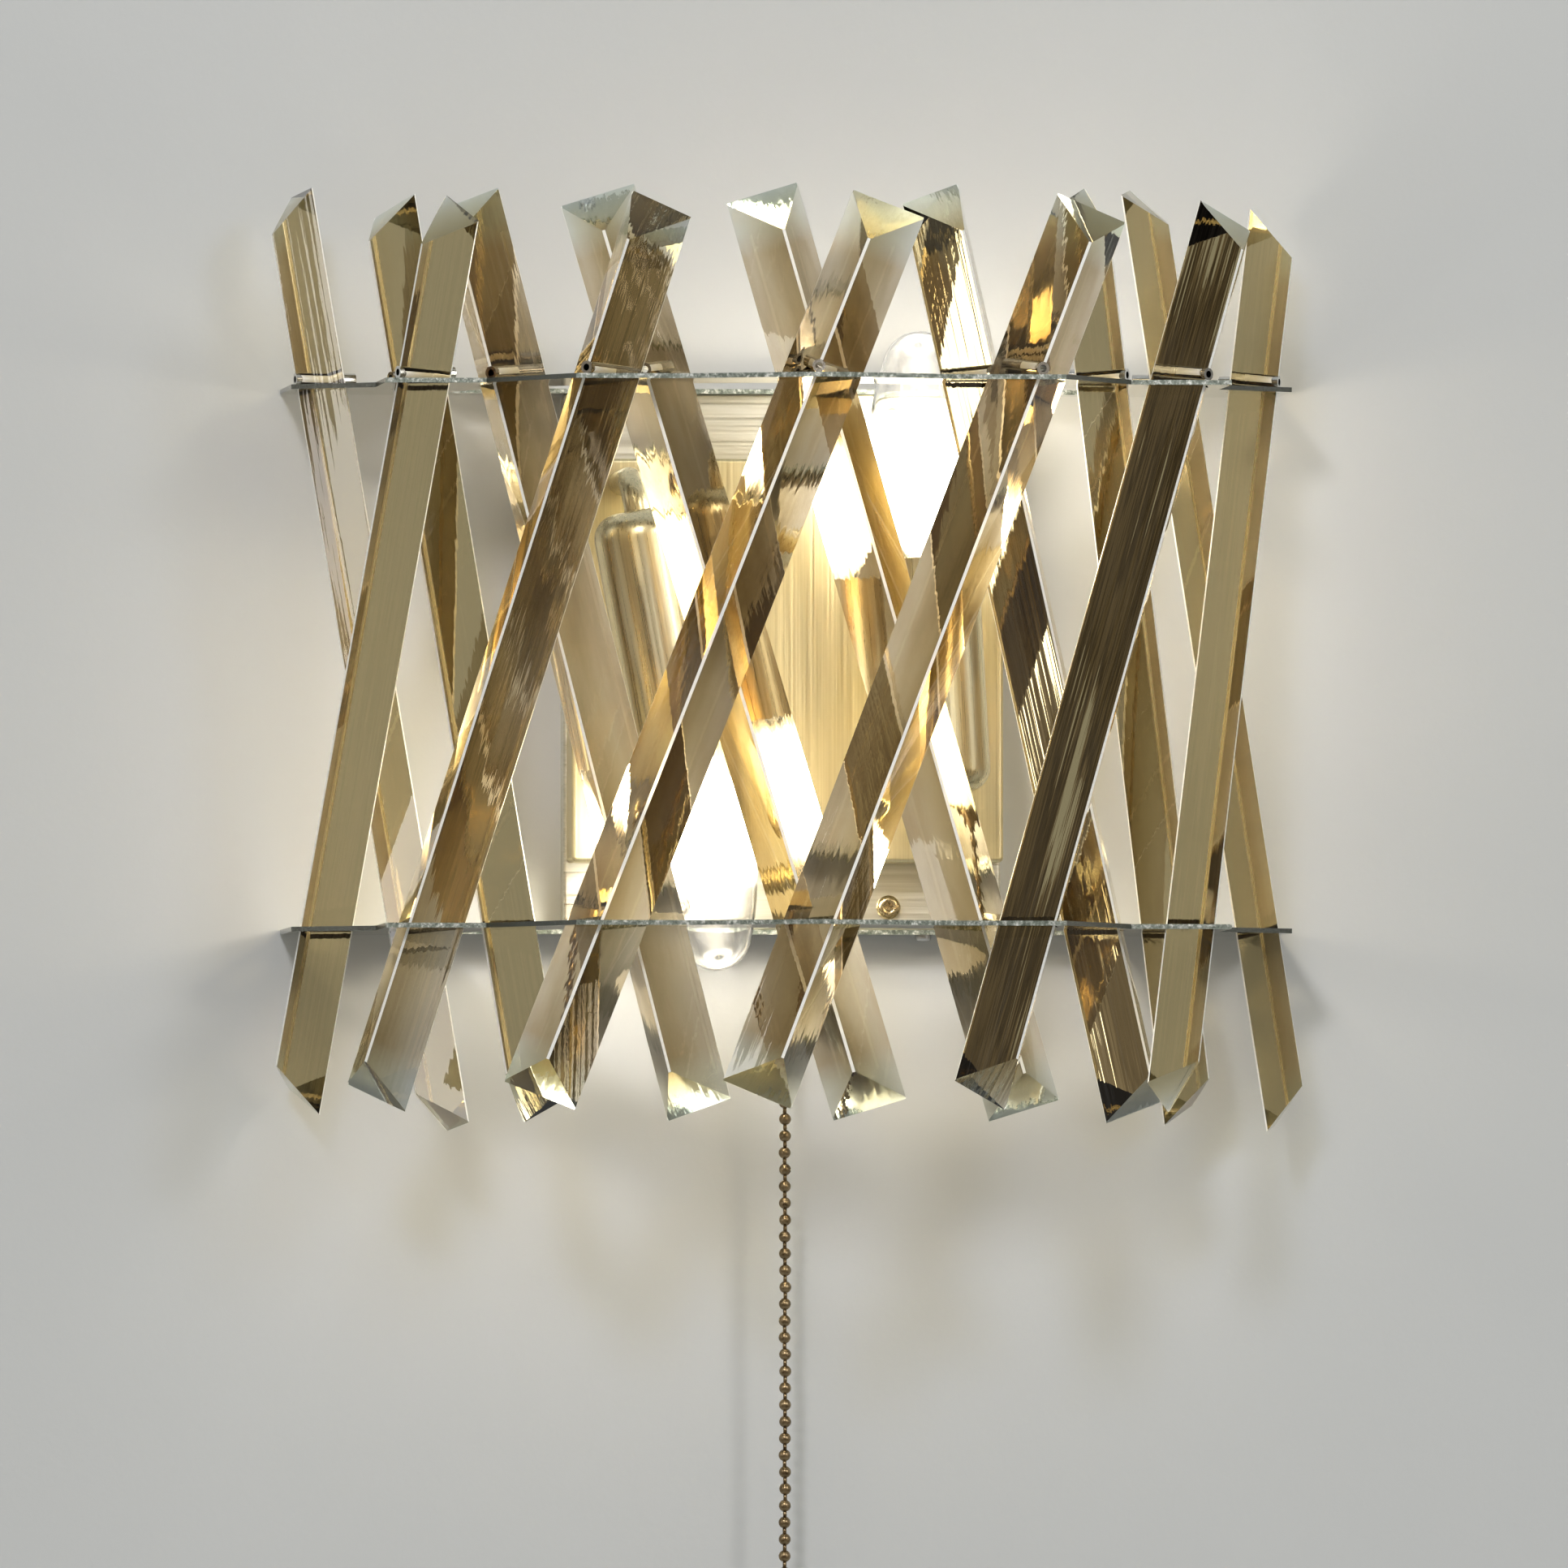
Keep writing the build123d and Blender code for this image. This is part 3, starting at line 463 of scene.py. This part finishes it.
glow_material = filament_glow()
cap_material = brushed("cap_metal", (0.45, 0.45, 0.44), (0.78, 0.78, 0.76), 0.3, (60, 60, 1500))
holder_material = moulded("holder_black", (0.030, 0.030, 0.030), 0.45)
block_material = moulded("block_white", (0.80, 0.80, 0.76), 0.32)
sheath_material = moulded("lead_sheath", (0.74, 0.72, 0.66), 0.5)
support_material = support_glass()
for side_name, lamp in LAMPS.items():
    give(bulb_glass(side_name, lamp), f"bulb_glass_{side_name}")
    give(support_material, f"bulb_support_{side_name}")
    give(glow_material, f"filament_{side_name}")
    give(cap_material, f"bulb_cap_{side_name}")
    give(holder_material, f"holder_{side_name}")
    give(sheath_material, f"lamp_lead_{side_name}")
give(block_material, "terminal_block", "switch_body")
give(sheath_material, "switch_lead")


# ---- new objects ----
def new_object(name, data):
    obj = bpy.data.objects.new(name, data)
    bpy.context.scene.collection.objects.link(obj)
    return obj


def new_piece(name, points, faces):
    """Mesh object that is smooth on its quads and flat on its other faces."""
    mesh = bpy.data.meshes.new(name)
    mesh.from_pydata(points, [], faces)
    mesh.validate()
    for polygon in mesh.polygons:
        polygon.use_smooth = len(polygon.vertices) == 4
    mesh.update()
    return new_object(name, mesh)


def new_stage(name, points, faces, material):
    """Flat-shaded stage piece."""
    mesh = bpy.data.meshes.new(name)
    mesh.from_pydata(points, [], faces)
    mesh.materials.append(material)
    obj = new_object(name, mesh)
    return obj


# ---- pull chain ----
def ring_of(radius, level, sides, centre):
    """One ring of points round a vertical line."""
    return [
        (
            centre[0] + radius * math.cos(2 * math.pi * i / sides),
            centre[1] + radius * math.sin(2 * math.pi * i / sides),
            level,
        )
        for i in range(sides)
    ]


def bead_chain():
    """Beads with dimpled poles on short links, as one mesh of separate closed shells."""
    rand = random.Random(7)
    sides = BEAD_SIDES
    arcs = [math.radians(a) for a in BEAD_ARC]
    rim = DIMPLE_RIM * (BEAD_R * math.sin(arcs[0]))
    dimple = DIMPLE_DEPTH * BEAD_R
    points, faces, path = [], [], [(0.0, CHAIN_Y, CHAIN_TOP)]

    def shell(profile, centre):
        """Closed shell from (radius, level) pairs, top to bottom."""
        first = len(points)
        for radius, level in profile:
            points.extend(ring_of(radius, level, sides, centre))
        for r in range(len(profile) - 1):
            for i in range(sides):
                a = first + r * sides + i
                b = first + r * sides + (i + 1) % sides
                faces.append((a, a + sides, b + sides, b))
        faces.append(tuple(first + i for i in range(sides)))
        last = first + (len(profile) - 1) * sides
        faces.append(tuple(last + i for i in reversed(range(sides))))

    previous = (0.0, CHAIN_Y)
    level = CHAIN_TOP
    for i in range(BEADS):
        z = CHAIN_TOP - (i + 0.5) * BEAD_PITCH
        loose = CHAIN_SWAY if 0 < i < BEADS - 1 else 0.0
        centre = (rand.uniform(-loose, loose), CHAIN_Y + rand.uniform(-loose, loose))
        shell([(BEAD_LINK_R, level), (BEAD_LINK_R, z + BEAD_R * LINK_END)], previous)
        bead = [(BEAD_R * math.sin(a), z + BEAD_R * math.cos(a)) for a in arcs]
        top, low = bead[0][1], bead[-1][1]
        shell([(rim, top - dimple), (rim, top), *bead, (rim, low), (rim, low + dimple)], centre)
        path.append((*centre, z))
        level = z - BEAD_R * LINK_END
        previous = centre
    end = CHAIN_TOP - BEADS * BEAD_PITCH
    shell([(BEAD_LINK_R, level), (BEAD_LINK_R, end)], previous)
    path.append((0.0, CHAIN_Y, end))
    return new_piece("bead_chain", points, faces), path


chain, chain_path = bead_chain()
chain.data.materials.append(
    brushed("chain_bronze", (0.11, 0.075, 0.04), (0.40, 0.31, 0.18), 0.30, (500, 500, 500))
)
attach(chain, PULL)
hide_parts("pull_chain")


# ---- return spring ----
def return_spring():
    """Coil of round wire."""
    steps = SPRING_STEPS * SPRING_TURNS
    sides = WIRE_SIDES
    centre = Vector((0.0, CHAIN_Y, SPRING_LOW + SPRING_WIRE_R))
    rise = SPRING_LEN - SPRING_INSET * SPRING_WIRE_R
    points, faces = [], []
    for i in range(steps + 1):
        angle = 2 * math.pi * SPRING_TURNS * i / steps
        outward = Vector((math.cos(angle), math.sin(angle), 0.0))
        middle = centre + outward * SPRING_R + Vector((0.0, 0.0, rise * i / steps))
        for j in range(sides):
            turn = 2 * math.pi * j / sides
            wire = outward * math.cos(turn) + Vector((0.0, 0.0, math.sin(turn)))
            points.append(tuple(middle + wire * SPRING_WIRE_R))
    for i in range(steps):
        for j in range(sides):
            a, b = i * sides + j, i * sides + (j + 1) % sides
            faces.append((a, b, b + sides, a + sides))
    faces.append(tuple(range(sides)))
    faces.append(tuple(steps * sides + j for j in reversed(range(sides))))
    return new_piece("return_spring", points, faces)


spring = return_spring()
spring.data.materials.append(zinc)
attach(spring, FIXTURE)
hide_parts("switch_spring")
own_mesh(spring)


# ---- stage: wall, light and camera ----
def panel(name, centre, across, up, material):
    """Flat rectangle from its centre and its two half sides."""
    centre, across, up = Vector(centre), Vector(across), Vector(up)
    corners = [
        centre - across - up, centre + across - up, centre + across + up, centre - across + up
    ]
    return new_stage(name, [tuple(c) for c in corners], [(0, 1, 2, 3)], material)


def wall_paint():
    """Matt wall paint. Seen from behind the wall is clear, so that the back of the light shows."""
    f = Finish("wall_paint", (0.50, 0.505, 0.495), 0.85, Specular_IOR_Level=0.2)
    grain = f.noise(f.place(stretch=(260, 260, 260)), detail=4.0)
    f.feed("Normal", f.bump(grain, 0.12, 0.0006))
    back = f.node("ShaderNodeNewGeometry").outputs["Backfacing"]
    f.clear_where(f.math("MAXIMUM", f.shadow_rays(), back))
    return f.material


panel("wall", (0, WALL_BEHIND, 0), (WALL_HALF, 0, 0), (0, 0, WALL_HALF), wall_paint())


def area_light(name, place, size, power, colour=(1.0, 1.0, 1.0)):
    """Soft square lamp aimed at the origin, which doesn't show through glass."""
    lamp_data = bpy.data.lights.new(name, "AREA")
    lamp_data.shape = "RECTANGLE"
    lamp_data.size = lamp_data.size_y = size
    lamp_data.energy = power
    lamp_data.color = colour
    obj = new_object(name, lamp_data)
    obj.location = place
    obj.rotation_euler = (-Vector(place)).to_track_quat("-Z", "Y").to_euler()
    obj.visible_transmission = False


area_light("key", (-0.75, -2.6, 1.3), 0.35, 34, (0.98, 0.97, 1.0))
area_light("fill", (1.3, -2.3, 0.8), 0.4, 17)
area_light("rear", (0.6, 2.0, 0.8), 1.6, 20)


def seen_in_gloss_only(obj):
    """Leaves a stage piece to reflections and glass. It lights nothing and throws no shadow."""
    obj.visible_camera = False
    obj.visible_diffuse = False
    obj.visible_shadow = False


def dim_room():
    """Half round wall of a dim room on the near side, with upright lighter and darker bands."""
    f = Finish("room_dim", (0.0, 0.0, 0.0), 1.0, Emission_Strength=1.0)
    bands = f.noise(f.place(stretch=(3.2, 3.2, 0.05)), detail=4.0, rough=0.7)
    shade = f.ramp(
        bands, (0.36, (0.045, 0.036, 0.025)), (0.46, (0.20, 0.165, 0.12)),
        (0.56, (0.36, 0.31, 0.25)), (0.66, (0.62, 0.59, 0.54)),
    )
    f.feed("Emission Color", shade)
    corners = []
    for i in range(ROOM_STEPS + 1):
        angle = math.pi * i / ROOM_STEPS
        x, y = ROOM_R * math.cos(angle), ROOM_CENTRE_Y - ROOM_R * math.sin(angle)
        corners += [(x, y, -ROOM_R), (x, y, ROOM_R)]
    faces = [(2 * i, 2 * i + 1, 2 * i + 3, 2 * i + 2) for i in range(ROOM_STEPS)]
    seen_in_gloss_only(new_stage("room", corners, faces, f.material))


def strip_light(name, azimuth, half_width, low, high, strength):
    """Upright strip softbox at an azimuth to the right of straight ahead, in degrees."""
    f = Finish(
        name, (0.0, 0.0, 0.0), 1.0,
        Emission_Color=(1.0, 0.99, 0.97, 1.0), Emission_Strength=strength,
    )
    turn = math.radians(azimuth)
    centre = (STRIP_R * math.sin(turn), -STRIP_R * math.cos(turn), (low + high) / 2)
    across = Vector((math.cos(turn), math.sin(turn), 0.0)) * half_width
    seen_in_gloss_only(panel(name, centre, across, (0, 0, (high - low) / 2), f.material))


dim_room()
strip_light("strip_left", -58, 0.14, -0.4, 2.2, 6.0)
strip_light("strip_middle", -24, 0.05, 0.2, 2.0, 5.0)
strip_light("strip_right", 47, 0.09, -0.6, 2.0, 6.0)
strip_light("strip_far_right", 76, 0.05, -0.6, 1.6, 5.0)

world = bpy.data.worlds.new("studio")
bpy.context.scene.world = world
world.use_nodes = True
sky = world.node_tree.nodes["Background"]
sky.inputs["Color"].default_value = (0.78, 0.80, 0.78, 1.0)
sky.inputs["Strength"].default_value = 0.58

azimuth = math.radians(CAMERA_AZIMUTH)
below = math.radians(CAMERA_BELOW)
# Direction from the aim back to the camera.
back_off = Vector(
    (-math.sin(azimuth) * math.cos(below), -math.cos(azimuth) * math.cos(below), -math.sin(below))
)
camera_data = bpy.data.cameras.new("camera")
camera_data.sensor_width = SENSOR
camera_data.lens = SENSOR * CAMERA_DISTANCE / PHOTO_WIDTH
camera_data.clip_end = CAMERA_REACH
camera = new_object("camera", camera_data)
camera.location = CAMERA_AIM + back_off * CAMERA_DISTANCE
camera.rotation_euler = (-back_off).to_track_quat("-Z", "Y").to_euler()
bpy.context.scene.camera = camera
bpy.context.scene.view_settings.view_transform = "Standard"
